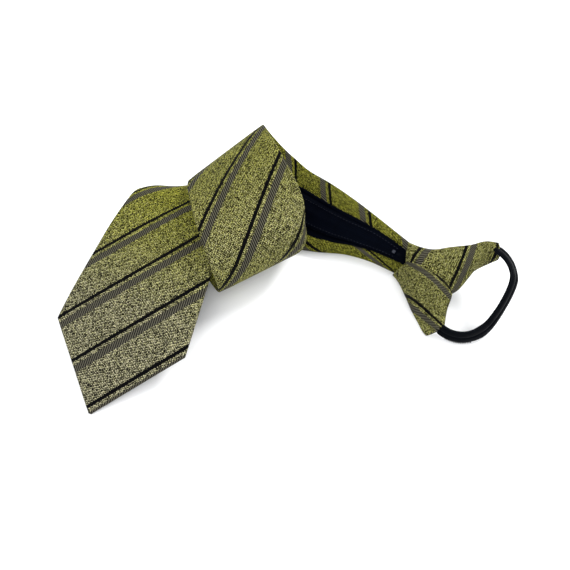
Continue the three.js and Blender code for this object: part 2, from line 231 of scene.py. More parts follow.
# %% Lay the ribbon
LOOK_FROM, LOOK_ACROSS, LOOK_INSET = 2.5, 9, 0.6
look_along, look_across = np.arange(LOOK_FROM, BLADE_LENGTH, 1), np.linspace(-1, 1, LOOK_ACROSS)
look_v, look_s = np.meshgrid(look_along, look_across, indexing="ij")
look_u = look_s * (half_width(look_v) - LOOK_INSET)
lowest = min((bend(look_u, look_v, h) @ axes)[..., 2].min() for h in (FRONT, UNDER))


def laid(u, v, h):
    u, v, h = (np.asarray(a, float) for a in np.broadcast_arrays(u, v, h))
    points = bend(*curled(bellied(u, v), v, h)) @ axes
    points[..., :2] += TIP_PLACE + slack(u, v)
    points[..., 2] = np.maximum(points[..., 2] - lowest - SETTLE, FLOOR_GAP)
    return points


print("tip of the blade, mm:", laid(0, 0, 0).round(1))

# %% [markdown]
# ## One way to make a skin
# Most pieces are a row of closed sections: walk along the piece, and at each step draw the outline of a
# cut through it. Joining the outlines with faces and closing both ends gives a solid. If the solid's
# volume comes out negative, the faces point inwards, so they are turned round. Each corner also gets its
# place on the flat cloth, in a UV map called flat, so that weave and stripes follow the cloth round every
# fold.


# %% A mesh with its place on the flat cloth
def finish_piece(name, points, faces, flat, material):
    mesh = bpy.data.meshes.new(name)
    mesh.from_pydata((points * MM).tolist(), [], faces)
    layer = mesh.uv_layers.new(name="flat")
    corners = np.array([c for face in faces for c in face])
    layer.data.foreach_set("uv", (flat[corners] * MM).ravel().astype(np.float32))
    mesh.materials.append(material)
    mesh.polygons.foreach_set("use_smooth", [True] * len(mesh.polygons))
    mesh.update()
    piece = bpy.data.objects.new(name, mesh)
    bpy.context.scene.collection.objects.link(piece)
    return piece


# %% A skin over sections
def quads_between(count, ring):
    i, j = np.meshgrid(np.arange(count - 1), np.arange(ring), indexing="ij")
    k = (j + 1) % ring
    return np.stack([i * ring + j, i * ring + k, (i + 1) * ring + k, (i + 1) * ring + j], -1).reshape(-1, 4)


def skin(name, sections, flat, material):
    count, ring = sections.shape[:2]
    quads = quads_between(count, ring)
    points = sections.reshape(-1, 3)
    a, b, c, d = (points[quads[:, n]] for n in range(4))
    volume = np.einsum("ij,ij->i", a, np.cross(b, c)) + np.einsum("ij,ij->i", a, np.cross(c, d))
    start, end = list(range(ring)), list(range((count - 1) * ring, count * ring))
    if volume.sum() > 0:
        faces = quads.tolist() + [start[::-1], end]
    else:
        faces = quads[:, ::-1].tolist() + [start, end[::-1]]
    return finish_piece(name, points, faces, flat.reshape(-1, 2), material)


print("faces round a box of two sections:", len(quads_between(2, 4)) + 2)

# %% [markdown]
# ## Helpers for node trees
# A material is a tree of small nodes. A few helpers keep the trees readable: one adds a node and plugs
# its inputs in, one does a sum, one blends two colours, and one turns a span of values into a share from
# 0 to 1.


# %% Node helpers
def add_node(tree, kind, inputs=(), **values):
    made = tree.nodes.new(kind)
    for key, value in values.items():
        setattr(made, key, value)
    for slot, value in dict(inputs).items():
        if isinstance(value, bpy.types.NodeSocket):
            tree.links.new(value, made.inputs[slot])
        else:
            made.inputs[slot].default_value = value
    return made


def sums(tree, operation, *values):
    return add_node(tree, "ShaderNodeMath", dict(enumerate(values)), operation=operation).outputs[0]


def blend_colours(tree, share, first, second):
    return add_node(tree, "ShaderNodeMix", {0: share, 6: first, 7: second}, data_type="RGBA").outputs[2]


def ramp(tree, value, start, end, first=0.0, last=1.0, style="LINEAR"):
    spans = {0: value, 1: start, 2: end, 3: first, 4: last}
    return add_node(tree, "ShaderNodeMapRange", spans, interpolation_type=style).outputs[0]


def wave(tree, place, period, wander=0.0):
    return sums(tree, "SINE", sums(tree, "MULTIPLY_ADD", place, 2 * math.pi / period, wander))


def new_group(name, inputs, outputs):
    group = bpy.data.node_groups.new(name, "ShaderNodeTree")
    for label, kind, value in inputs:
        socket = group.interface.new_socket(label, in_out="INPUT", socket_type=kind)
        if value is not None:
            socket.default_value = value
    for label, kind in outputs:
        group.interface.new_socket(label, in_out="OUTPUT", socket_type=kind)
    return group, group.nodes.new("NodeGroupInput"), group.nodes.new("NodeGroupOutput")


print("helpers:", [helper.__name__ for helper in (add_node, sums, blend_colours, ramp, wave, new_group)])

# %% [markdown]
# ## Cloth that is drawn thread by thread
# The ground mixes dark and bright threads at random, so it looks speckled. Across it run repeated
# stripes: a black line, a narrow strip of the ground and a band of fine twill. The stripes lie along one
# set of threads, so all is drawn in two distances: p across the stripes, and q along them.

# %% Distances across and along the stripes
LEAN = 1.095
STRIPE_START, STRIPE_PITCH = 6.4, 40.2
ACROSS = math.hypot(1, LEAN)
PITCH = STRIPE_PITCH / ACROSS


def stripe_distances(group, flat):
    parts = add_node(group, "ShaderNodeSeparateXYZ", {0: flat})
    u = sums(group, "MULTIPLY", parts.outputs[0], 1 / MM)
    v = sums(group, "MULTIPLY", parts.outputs[1], 1 / MM)
    p = sums(group, "DIVIDE", sums(group, "SUBTRACT", v, sums(group, "MULTIPLY", u, LEAN)), ACROSS)
    q = sums(group, "DIVIDE", sums(group, "ADD", u, sums(group, "MULTIPLY", v, LEAN)), ACROSS)
    return v, p, q


print("stripes repeat every", round(PITCH, 1), "mm, at", round(math.degrees(math.atan(LEAN))), "degrees")

# %% [markdown]
# ## The speckled ground
# Real mélange has short bright dashes where a bright thread comes up. Two layers of small cells, one long
# along the stripes and one long across them, give each dash its own random level. Two waves, pushed about
# by the same cells, add the order of a weave. A steep step on the mix of all three makes clear bright and
# dark threads.

# %% Threads that come up at random
LONG_DASH, SHORT_DASH = (0.8, 0.44), (0.42, 0.78)
LONG_RANDOM, SHORT_RANDOM = 0.75, 0.8
WEAVE_Q, WEAVE_P, WANDER = 1.4, 1.15, 1.9
SHARES = {"long": 0.25, "short": 0.2, "woven": 0.55}
BRIGHT_FROM, BRIGHT_TO = 0.54, 0.71


def thread_places(group, p, q, dash):
    along, across = sums(group, "DIVIDE", q, dash[0]), sums(group, "DIVIDE", p, dash[1])
    return add_node(group, "ShaderNodeCombineXYZ", {0: along, 1: across}).outputs[0]


def speckle(group, places, random, channel):
    cells = add_node(group, "ShaderNodeTexVoronoi", {"Vector": places, "Scale": 1.0, "Randomness": random})
    return add_node(group, "ShaderNodeSeparateColor", {0: cells.outputs["Color"]}).outputs[channel]


def bright_threads(group, p, q, long_speck, short_speck):
    wave_q = wave(group, q, WEAVE_Q, sums(group, "MULTIPLY", short_speck, WANDER))
    wave_p = wave(group, p, WEAVE_P, sums(group, "MULTIPLY", long_speck, WANDER))
    woven = sums(group, "MULTIPLY_ADD", sums(group, "MULTIPLY", wave_q, wave_p), 0.5, 0.5)
    long_share = sums(group, "MULTIPLY", long_speck, SHARES["long"])
    mixed = sums(group, "ADD", long_share, sums(group, "MULTIPLY", short_speck, SHARES["short"]))
    mixed = sums(group, "ADD", mixed, sums(group, "MULTIPLY", woven, SHARES["woven"]))
    return ramp(group, mixed, BRIGHT_FROM, BRIGHT_TO, style="SMOOTHSTEP")


print("shares of the mix add up to", sum(SHARES.values()))

# %% [markdown]
# ## The two golds, and painted light along the blade
# The bright threads are pale near the tip and golden in the middle of the roll, a painted sheen. A colour
# ramp along the blade holds that painted sheen, and a slow noise adds patches of random tone. Towards the
# knot, where the cloth turns its back to the light, the bright threads get a painted shade. The knot's
# cloth leaves both painted ramps along the blade out and takes even values of its own.

# %% Colours of the threads
PALE_THREAD, GOLD_THREAD = (0.525, 0.495, 0.315, 1), (0.475, 0.475, 0.057, 1)
BLACK_THREAD, BLACK_GOLD = (0.005, 0.0045, 0.003, 1), (0.007, 0.007, 0.001, 1)
# Painted sheen: how golden the bright threads are, at shares of the blade's length.
PAINTED_SHEEN_ALONG = [
    (0.0, 0.0), (0.12, 0.15), (0.2, 0.7), (0.27, 1.0), (0.44, 0.9), (0.54, 0.45), (0.64, 0.75), (0.78, 1.0)]
PATCH_SCALE, PATCH_STRENGTH = 0.45, 1.1
# Painted shade: the bright threads darken towards the knot, from 290 to 430 mm.
PAINTED_SHADE_FROM, PAINTED_SHADE_TO, PAINTED_SHADE_BY = 290.0, 430.0, 0.3


def sheen_gold_share(group, given, v, places):
    patches = add_node(group, "ShaderNodeTexNoise", {"Vector": places, "Scale": PATCH_SCALE, "Detail": 2.0})
    along = add_node(group, "ShaderNodeValToRGB", {0: sums(group, "DIVIDE", v, float(BLADE_LENGTH))})
    for place, share in PAINTED_SHEEN_ALONG:
        stop = along.color_ramp.elements.new(place) if place else along.color_ramp.elements[0]
        stop.color = (share, share, share, 1)
    # Painted sheen along the blade, switched off on the knot's cloth.
    painted_sheen_along = sums(group, "MULTIPLY", along.outputs[0], given.outputs["Change"])
    patched = sums(group, "MULTIPLY", sums(group, "SUBTRACT", patches.outputs[0], 0.5), PATCH_STRENGTH)
    gold = sums(group, "ADD", sums(group, "ADD", painted_sheen_along, patched), given.outputs["Gold"])
    return add_node(group, "ShaderNodeClamp", {0: gold}).outputs[0]


def thread_colours(group, given, v, places):
    gold = sheen_gold_share(group, given, v, places)
    bright = blend_colours(group, gold, PALE_THREAD, GOLD_THREAD)
    dark = blend_colours(group, gold, BLACK_THREAD, BLACK_GOLD)
    # Painted shade towards the knot, plus the even painted shade of the knot's cloth.
    painted_shade = ramp(group, v, PAINTED_SHADE_FROM, PAINTED_SHADE_TO, 0.0, PAINTED_SHADE_BY)
    painted_shade = sums(group, "MULTIPLY", painted_shade, given.outputs["Change"])
    painted_shade = sums(group, "ADD", painted_shade, given.outputs["Depth"])
    return dark, blend_colours(group, painted_shade, bright, dark)


print("most golden at", [round(place * BLADE_LENGTH) for place, share in PAINTED_SHEEN_ALONG if share == 1.0], "mm")

# %% [markdown]
# ## Line, strip and twill band
# The stripe repeats, so a place across it is first brought into one pitch. The black line is where the
# distance to the line's middle is small. The twill band starts a strip away from it. The edges are a
# little ragged, because threads are round: the same random level of each thread shifts them. The band's
# fine twill lines run at half a right angle to the threads.

# %% Masks of the stripe
LINE_HALF, TWILL_START, TWILL_WIDTH = 0.98, 2.95, 4.1
RAGGED, TWILL_LINES, TWILL_FROM, TWILL_FULL = 0.18, 0.59, -0.1, 0.9


def stripe_masks(group, p, speck):
    ragged = sums(group, "MULTIPLY", sums(group, "SUBTRACT", speck, 0.5), RAGGED)
    from_first = sums(group, "SUBTRACT", sums(group, "ADD", p, ragged), STRIPE_START / ACROSS)
    shifted = sums(group, "ADD", from_first, PITCH / 2)
    from_line = sums(group, "SUBTRACT", sums(group, "FLOORED_MODULO", shifted, PITCH), PITCH / 2)
    line = sums(group, "LESS_THAN", sums(group, "ABSOLUTE", from_line), LINE_HALF)
    into_band = sums(group, "SUBTRACT", -TWILL_START, from_line)
    begun = sums(group, "GREATER_THAN", into_band, 0.0)
    band = sums(group, "MULTIPLY", begun, sums(group, "LESS_THAN", into_band, TWILL_WIDTH))
    return line, band


def twill_lines(group, p, q):
    turns = sums(group, "MULTIPLY", sums(group, "SUBTRACT", q, p), 2 * math.pi * TWILL_LINES)
    return ramp(group, sums(group, "SINE", turns), TWILL_FROM, TWILL_FULL, style="SMOOTHSTEP")


print("line, strip and band, mm:", 2 * LINE_HALF, round(TWILL_START - LINE_HALF, 2), TWILL_WIDTH)

# %% [markdown]
# ## The cloth as one node group
# The blade and the knot are the same cloth, so the pattern is a group that is built once. It takes the
# flat coordinates, and puts out the colour, how rough the thread is, and a height for the bump. Fine ribs
# run along the stripes, and the black line lies lower than the ground.

# %% The striped mélange cloth
TWILL_DARK, TWILL_PALE = (0.003, 0.003, 0.003, 1), (0.105, 0.098, 0.075, 1)
LINE_COLOUR = (0.001, 0.001, 0.0014, 1)
TWILL_GROUND, RIB_PERIOD, RIB_HEIGHT, LINE_SINKS = 0.05, 0.5, 0.12, 0.7
DARK_ROUGHNESS, BRIGHT_SMOOTHER = 0.62, -0.12


def cloth_height(group, p, line, band, light, hatch):
    grain = add_node(group, "ShaderNodeMix", {0: band, 2: light, 3: hatch}).outputs[0]
    sunk = sums(group, "SUBTRACT", 1.0, sums(group, "MULTIPLY", line, LINE_SINKS))
    ribs = sums(group, "MULTIPLY", wave(group, p, RIB_PERIOD), RIB_HEIGHT)
    return sums(group, "ADD", sums(group, "MULTIPLY", grain, sunk), ribs)


def striped_cloth():
    number = "NodeSocketFloat"
    group, given, out = new_group(
        "striped melange",
        [("Flat", "NodeSocketVector", None), ("Gold", number, 0.5), ("Change", number, 1.0),
         ("Depth", number, 0.0)],
        [("Color", "NodeSocketColor"), ("Roughness", number), ("Height", number)])
    v, p, q = stripe_distances(group, given.outputs["Flat"])
    long_places, short_places = (thread_places(group, p, q, dash) for dash in (LONG_DASH, SHORT_DASH))
    long_speck = speckle(group, long_places, LONG_RANDOM, 0)
    short_speck = speckle(group, short_places, SHORT_RANDOM, 1)
    light = bright_threads(group, p, q, long_speck, short_speck)
    dark, bright = thread_colours(group, given, v, long_places)
    ground = blend_colours(group, light, dark, bright)
    line, band = stripe_masks(group, p, short_speck)
    hatch = twill_lines(group, p, q)
    twill = blend_colours(group, hatch, TWILL_DARK, TWILL_PALE)
    twill = blend_colours(group, sums(group, "MULTIPLY", light, TWILL_GROUND), twill, bright)
    colour = blend_colours(group, band, ground, twill)
    group.links.new(blend_colours(group, line, colour, LINE_COLOUR), out.inputs["Color"])
    rough = sums(group, "MULTIPLY_ADD", light, BRIGHT_SMOOTHER, DARK_ROUGHNESS)
    group.links.new(rough, out.inputs["Roughness"])
    group.links.new(cloth_height(group, p, line, band, light, hatch), out.inputs["Height"])
    return group


cloth_group = striped_cloth()
print("nodes in the cloth group:", len(cloth_group.nodes))

# %% [markdown]
# ## The cloth's materials
# Wool and silk threads shine very little, so the cloth is rough, with a very weak highlight. The small
# height of the threads goes into a bump, which is enough at this size. The knot's cloth is a little
# darker all over, a painted shade for the shade of its own folds.


# %% Two materials from the one cloth group
def new_material(name, colour, roughness, **constants):
    material = bpy.data.materials.new(name)
    material.use_nodes = True
    shader = material.node_tree.nodes["Principled BSDF"]
    shader.inputs["Base Color"].default_value = (*colour, 1)
    shader.inputs["Roughness"].default_value = roughness
    for label, value in constants.items():
        shader.inputs[label.replace("_", " ")].default_value = value
    return material, material.node_tree, shader


def place_group(tree, group, **given):
    flat = add_node(tree, "ShaderNodeUVMap", uv_map="flat")
    return add_node(tree, "ShaderNodeGroup", {"Flat": flat.outputs[0], **given}, node_tree=group)


def bump(tree, shader, height, strength, distance):
    made = add_node(tree, "ShaderNodeBump", {"Strength": strength, "Distance": distance, "Height": height})
    tree.links.new(made.outputs[0], shader.inputs["Normal"])


# The last argument is an even painted shade over the whole piece.
def cloth_material(name, gold, painted_light_along, depth):
    material, tree, shader = new_material(
        name, (0.16, 0.155, 0.08), 0.6, Specular_IOR_Level=0.025,
        Sheen_Weight=0.01, Sheen_Roughness=0.35, Sheen_Tint=(0.95, 0.85, 0.25, 1))
    pattern = place_group(tree, cloth_group, Gold=gold, Change=painted_light_along, Depth=depth)
    tree.links.new(pattern.outputs["Color"], shader.inputs["Base Color"])
    tree.links.new(pattern.outputs["Roughness"], shader.inputs["Roughness"])
    bump(tree, shader, pattern.outputs["Height"], 0.55, 0.0003)
    return material


cloth = cloth_material("melange cloth", 0.0, 1.0, 0.0)
# The knot's cloth: even gold, no ramps along the blade, and an even painted shade.
knot_cloth_painted_shade = cloth_material("melange cloth of the knot, painted shade", 0.6, 0.0, 0.1)
print("cloth materials:", cloth.name, "and", knot_cloth_painted_shade.name)

# %% [markdown]
# ## Satin and tape
# Lining and tapes are plain weaves, so they share a second group: ribs across and along, whose periods in
# millimetres are inputs, and a soft cloudiness. The satin is smooth and nearly black blue, and the tapes
# have coarser ribs.

# %% A fine weave
ACROSS_RIBS, RIB_SHARE, CLOUD_SCALE, CLOUD_DETAIL = 0.5, 0.3, 220.0, 4.0


def woven_group():
    number = "NodeSocketFloat"
    group, given, out = new_group(
        "fine weave", [("Flat", "NodeSocketVector", None), ("Across", number, 0.5), ("Along", number, 0.5)],
        [("Height", number), ("Shade", number)])
    parts = add_node(group, "ShaderNodeSeparateXYZ", {0: given.outputs["Flat"]})
    turns = 2 * math.pi / MM
    wave_u = sums(group, "DIVIDE", sums(group, "MULTIPLY", parts.outputs[0], turns), given.outputs["Across"])
    wave_v = sums(group, "DIVIDE", sums(group, "MULTIPLY", parts.outputs[1], turns), given.outputs["Along"])
    weaker = sums(group, "MULTIPLY", sums(group, "SINE", wave_u), ACROSS_RIBS)
    ribs = sums(group, "ADD", sums(group, "SINE", wave_v), weaker)
    scaled = add_node(group, "ShaderNodeVectorMath", {
        0: given.outputs["Flat"], 3: CLOUD_SCALE}, operation="SCALE")
    clouds = add_node(group, "ShaderNodeTexNoise", {
        "Vector": scaled.outputs[0], "Scale": 1.0, "Detail": CLOUD_DETAIL})
    height = sums(group, "ADD", sums(group, "MULTIPLY", ribs, RIB_SHARE), clouds.outputs[0])
    group.links.new(height, out.inputs["Height"])
    group.links.new(clouds.outputs[0], out.inputs["Shade"])
    return group


weave_group = woven_group()


def woven_material(name, dark, pale, roughness, across, along, depth, **constants):
    material, tree, shader = new_material(name, dark, roughness, **constants)
    weave = place_group(tree, weave_group, Across=across, Along=along)
    colour = blend_colours(tree, weave.outputs["Shade"], (*dark, 1), (*pale, 1))
    tree.links.new(colour, shader.inputs["Base Color"])
    bump(tree, shader, weave.outputs["Height"], 0.5, depth)
    return material


satin = woven_material(
    "navy satin", (0.0002, 0.0006, 0.002), (0.0006, 0.0014, 0.004), 0.35, 0.3, 0.5, 0.00015,
    Specular_IOR_Level=0.012)
tail_tape = woven_material(
    "navy tape", (0.0003, 0.0007, 0.002), (0.0008, 0.0016, 0.0045), 0.5, 1.2, 1.1, 0.0004,
    Specular_IOR_Level=0.012)
print("nodes in the weave group:", len(weave_group.nodes))

# %% [markdown]
# ## The black tape and the hard parts
# The neck band is black tape whose two rolled rims catch the light as thin grey lines, a painted highlight:
# the flat coordinate across the tape says how far away a rim is, and near it the colour is blended to grey.
# Teeth, thread and the dull stop need no pattern, because each is smaller than a millimetre or two.

# %% Tape with rims, plastic, thread and stop
TAPE_RIMS, HIGHLIGHT_SHARP, HIGHLIGHT_FADES, PAINTED_RIM_HIGHLIGHT = (1.3, 7.2), 0.1, 0.42, (0.03, 0.035, 0.045, 1)


def tape_with_painted_highlights(name, dark, pale, **constants):
    material = woven_material(name, dark, pale, 0.45, 1.2, 0.7, 0.0003, **constants)
    tree = material.node_tree
    shader = tree.nodes["Principled BSDF"]
    flat = add_node(tree, "ShaderNodeUVMap", uv_map="flat")
    across = add_node(tree, "ShaderNodeSeparateXYZ", {0: flat.outputs[0]}).outputs[0]
    across = sums(tree, "MULTIPLY", across, 1 / MM)
    away = [sums(tree, "ABSOLUTE", sums(tree, "SUBTRACT", across, place)) for place in TAPE_RIMS]
    # Painted highlight: the colour turns grey near each rim.
    share = sums(tree, "MAXIMUM", *(ramp(tree, far, HIGHLIGHT_SHARP, HIGHLIGHT_FADES, 1.0, 0.0) for far in away))
    plain = shader.inputs["Base Color"].links[0].from_socket
    tree.links.new(blend_colours(tree, share, plain, PAINTED_RIM_HIGHLIGHT), shader.inputs["Base Color"])
    return material


# Black tape with painted highlights along its rims.
tape = tape_with_painted_highlights("black tape", (0.0005, 0.0008, 0.0016), (0.0016, 0.0022, 0.004), Specular_IOR_Level=0.022)
plastic = new_material("black coil", (0.005, 0.005, 0.007), 0.35, Specular_IOR_Level=0.3)[0]
thread = new_material("dark thread", (0.012, 0.014, 0.022), 0.6, Specular_IOR_Level=0.15)[0]
metal = new_material("dull stop", (0.035, 0.038, 0.048), 0.45, Metallic=1.0)[0]
print("materials:", [m.name for m in bpy.data.materials])

# %% [markdown]
# ## The blade's outer cloth
# A tie's blade is soft: its edges are rolled, not creased, and its hems are turned back over a light
# interlining. The section is walked round once: front, right rim, right hem, middle of the back, left
# hem, left rim. Before the knot the hems puff up and pucker a little, where the cloth is gathered.

# %% Hems that are turned back
EDGE_ROLL, FRONT_POINTS, HEM_POINTS, INSIDE_POINTS = 1.3, 41, 9, 13
RIM_TURNS = np.radians([60, 30, 0, -30, -60])
RIGHT_PUFF, LEFT_PUFF = 0.7, 1.7


def swell(u, v):
    return 0.16 * np.sin(v / 23 + u / 31) + 0.12 * np.sin(v / 13 - u / 17 + 1.3)


def pucker(v):
    return 0.3 * math.sin(v / 2.6) * math.sin(v / 7.7 + 1) + 0.15 * math.sin(v / 5.3 + 2)


def turned_back(edge, hem, roll, middle, thick, v, puff):
    rim = [(edge - roll + roll * math.cos(a), middle + thick * math.sin(a)) for a in RIM_TURNS]
    turned = []
    for n, x in enumerate(np.linspace(edge - roll, hem + 0.4, HEM_POINTS)):
        inner = 0 < n < HEM_POINTS - 1
        out = puff * math.sin(math.pi * n / (HEM_POINTS - 1)) + (pucker(v) if inner else 0)
        turned.append((x, middle - thick - out))
    return rim + turned + [(hem + 0.1, UNDER + 0.2), (hem, BACK - 0.1)]


print("points of one turned-back hem:", len(turned_back(40, 25, EDGE_ROLL, 0, 1, 100, 0)))

# %% [markdown]
# ## The cloth's own coordinate
# The distance walked round the section is kept as the cloth's coordinate u, so a stripe that reaches the
# edge goes on over the hem, as on the real tie. Where the cloth is gathered before the knot, more of it
# lies in the hems than the distance says, so there the hems' coordinates are moved on and spread.

# %% One section of the blade
RIM_POINTS, RIGHT_GATHERED, LEFT_SPREAD, LEFT_GATHERED = 3, 7.3, 0.8, 1.0
HEMS_FROM, TIP_OPEN, PUFF_SPAN, GATHER_SPAN, LEFT_PUCKER_SHIFT = 40, 0.55, (392, 425), (355, 395), 4


def walk(points):
    return np.concatenate([[0], np.cumsum(np.linalg.norm(np.diff(points, axis=0), axis=1))])


def cloth_across(outline, count_front, count_right, count_left, gathered):
    walked = walk(outline)
    flat_u = walked - walked[count_front // 2]
    right_end = count_front + count_right
    flat_u[right_end + INSIDE_POINTS // 2 + 1:] -= walked[-1] + math.dist(outline[-1], outline[0])
    flat_u[count_front + RIM_POINTS:right_end] += RIGHT_GATHERED * gathered
    left_hem, rim = slice(-count_left, -RIM_POINTS), flat_u[-RIM_POINTS]
    spread = 1 + LEFT_SPREAD * gathered
    flat_u[left_hem] = rim + (flat_u[left_hem] - rim) * spread - LEFT_GATHERED * gathered
    return flat_u


def blade_section(v):
    edge = float(half_width(v))
    low, high = opening(v) if v > HEMS_FROM else (-TIP_OPEN * edge, TIP_OPEN * edge)
    roll = min(EDGE_ROLL, edge * 0.3)
    middle, thick = (FRONT + UNDER) / 2, (FRONT - UNDER) / 2 * min(1, 0.25 + edge / 6)
    shares = np.linspace(-1, 1, FRONT_POINTS)
    front = [(s * (edge - roll), middle + thick - 0.2 * abs(s) ** 8) for s in shares]
    lifted, gathered = float(ease(v, *PUFF_SPAN)), float(ease(v, *GATHER_SPAN))
    right = turned_back(edge, high, roll, middle, thick, v, RIGHT_PUFF * lifted)
    left = turned_back(edge, -low, roll, middle, thick, v + LEFT_PUCKER_SHIFT, LEFT_PUFF * lifted)
    inside = [(x, BACK) for x in np.linspace(high - 0.3, low + 0.3, INSIDE_POINTS)]
    outline = np.array(front + right + inside + [(-x, h) for x, h in reversed(left)])
    return outline, cloth_across(outline, len(front), len(right), len(left), gathered)


print("round the blade at 200 mm, mm:", round(float(np.ptp(blade_section(200)[1])), 1))

# %% The blade's mesh
TIP_BLUNT, TIP_STATIONS, BLADE_STATIONS = 0.8, 36, 378
tip_v = np.linspace(TIP_BLUNT, TIP_LENGTH, TIP_STATIONS)[:-1]
stations = np.concatenate([tip_v, np.linspace(TIP_LENGTH, BLADE_LENGTH + INTO_KNOT, BLADE_STATIONS)])
outlines, flats = (np.array(rows) for rows in zip(*(blade_section(v) for v in stations)))
long_v = np.broadcast_to(stations[:, None], flats.shape)
heights = outlines[..., 1] + swell(outlines[..., 0], long_v)
blade = skin("blade_cloth", laid(outlines[..., 0], long_v, heights), np.stack([flats, long_v], -1), cloth)
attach(blade, "root")
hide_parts("blade_shell")
print("blade cloth faces:", len(blade.data.polygons))

# %% [markdown]
# ## The lining
# The lining is a thin satin. It is sewn to both hems, so its edges lie on them, and between them it is a
# little too wide and lies in long soft wrinkles. Its wrinkles are a pleat near each hem, a slow ripple,
# and slanted folds that the pull of the knot draws.


# %% Lining
def strip(name, across, from_v, to_v, steps_v, top, under, material):
    v = np.linspace(from_v, to_v, steps_v)[:, None]
    u, high = top(across[None, :], v)
    _, low = under(across[None, :], v)
    both = np.concatenate([laid(u, v, high), laid(u, v, low)[:, ::-1]], 1)
    flat = np.stack([u, np.broadcast_to(v, u.shape)], -1)
    return skin(name, both, np.concatenate([flat, flat[:, ::-1]], 1), material)


LINING_START, LINING_OVER, LINING_SHORTER, LINING_POINTS, LINING_STATIONS = 26, 1.4, 0.3, 61, 264
LINING_THICKNESS, LINING_HEIGHT, HEM_RISE, HEM_SLOPE = 0.3, -1.72, 0.5, 1.6
lining_end = BLADE_LENGTH + INTO_KNOT - LINING_SHORTER


def lining_shape(lift):
    def shape(s, v):
        low, high = opening(v)
        u = low - LINING_OVER + (s + 1) / 2 * (high - low + 2 * LINING_OVER)
        over_hem = np.clip((np.maximum(u - high, low - u) + HEM_SLOPE) / HEM_SLOPE, 0, 1)
        half = (high - low) / 2
        pleat = 0.55 * np.exp(-((u - 0.45 * half) / 1.1) ** 2) + 0.4 * np.exp(-((u + 0.62 * half) / 1.0) ** 2)
        ripple = 0.3 * np.sin(u / 2.1 + 1.4 * np.sin(v / 19)) * np.sin(v / 27 + 0.5)
        drawn = 0.35 * np.sin((v - 1.8 * u) / 4.2) * np.exp(-((u - 0.9 * half) / 3.5) ** 2)
        sag = (1 - over_hem) * (pleat + ripple + drawn)
        return u, LINING_HEIGHT - HEM_RISE * over_hem - sag + lift
    return shape


lining = strip("lining", np.linspace(-1, 1, LINING_POINTS), LINING_START, lining_end, LINING_STATIONS,
               lining_shape(0.0), lining_shape(-LINING_THICKNESS), satin)
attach(lining, "root")
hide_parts("blade_lining")
print("lining faces:", len(lining.data.polygons))

# %% [markdown]
# ## The closed tail of the zip
# The lower length of the zip stays closed and lies flat on the lining. It is a ribbed tape with a ridge
# along its middle, where the closed teeth are under the cloth, and a cord along each edge. It keeps to
# the middle of the opening and narrows with it.

# %% Zip tail
TAIL_LENGTH, TAIL_WIDTH, TAIL_TO_KNOT, TAIL_CLEAR = 96, 13, 5, 0.4
TAIL_UNDER, TAIL_TOP, EDGE_CORD, TAIL_POINTS, TAIL_STATIONS = -2.75, -3.35, 0.8, 41, 120
tail_end = BLADE_LENGTH - TAIL_TO_KNOT


def tail_half(v):
    low, high = opening(v)
    return np.minimum(TAIL_WIDTH / 2, (high - low) / 2 - TAIL_CLEAR)


def tail_middle(v):
    low, high = opening(v)
    return (low + high) / 2


def tail_shape(base, profile):
    def shape(s, v):
        u = tail_middle(v) + s * tail_half(v)
        cord = 0.35 * np.exp(-(s / 0.22) ** 2) + 0.25 * np.exp(-((np.abs(s) - EDGE_CORD) / 0.09) ** 2)
        return u, base - profile * cord + 0 * v
    return shape


tail_across = np.linspace(-1, 1, TAIL_POINTS)
tail = strip("zip_tail_tape", tail_across, tail_end - TAIL_LENGTH, tail_end, TAIL_STATIONS,
             tail_shape(TAIL_UNDER, 0), tail_shape(TAIL_TOP, 1), tail_tape)
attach(tail, "root")
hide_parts("zip_tail")
print("tail tape faces:", len(tail.data.polygons))

# %% [markdown]
# ## The stop of the zip tail
# A small dull clip ends the closed teeth. It is a rounded box with pinched ends. Its outline is a circle
# whose sine and cosine are raised to a low power, which squares it up.

# %% Tail stop
STOP_LENGTH, STOP_FROM_END, STOP_HEIGHT, STOP_HALF, STOP_SQUARE = 2.2, 1.8, -4.1, 0.4, 0.6
STOP_SECTIONS = [(0, 0.75), (0.15, 0.95), (0.5, 1), (0.85, 0.95), (1, 0.75)]
stop_turn = np.linspace(0, 2 * math.pi, 24, endpoint=False)


def squared(side):
    return np.sign(side) * np.abs(side) ** STOP_SQUARE


stop_rows = []
for share, size in STOP_SECTIONS:
    across = tail_middle(tail_end) + size * squared(np.cos(stop_turn))
    at = tail_end - STOP_FROM_END + STOP_LENGTH * (share - 0.5)
    stop_rows.append(laid(across, at, STOP_HEIGHT + STOP_HALF * size * squared(np.sin(stop_turn))))
stop = skin("tail_stop", np.array(stop_rows), np.zeros((len(stop_rows), len(stop_turn), 2)), metal)
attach(stop, "root")
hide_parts("zip_tail_stop")
print("stop faces:", len(stop.data.polygons))

# %% [markdown]
# ## The knot
# The pre-tied knot is wrapped cloth over a stiff form. From outside it is two wings on a core: the upper
# one runs up to the ring, and the lower one folds over it and runs down to the table. Each is given by a
# few rows. A row holds two edge points, each as shares of the knot's length, span and height, and then
# how far the cloth arches out between them and how far it arches in.

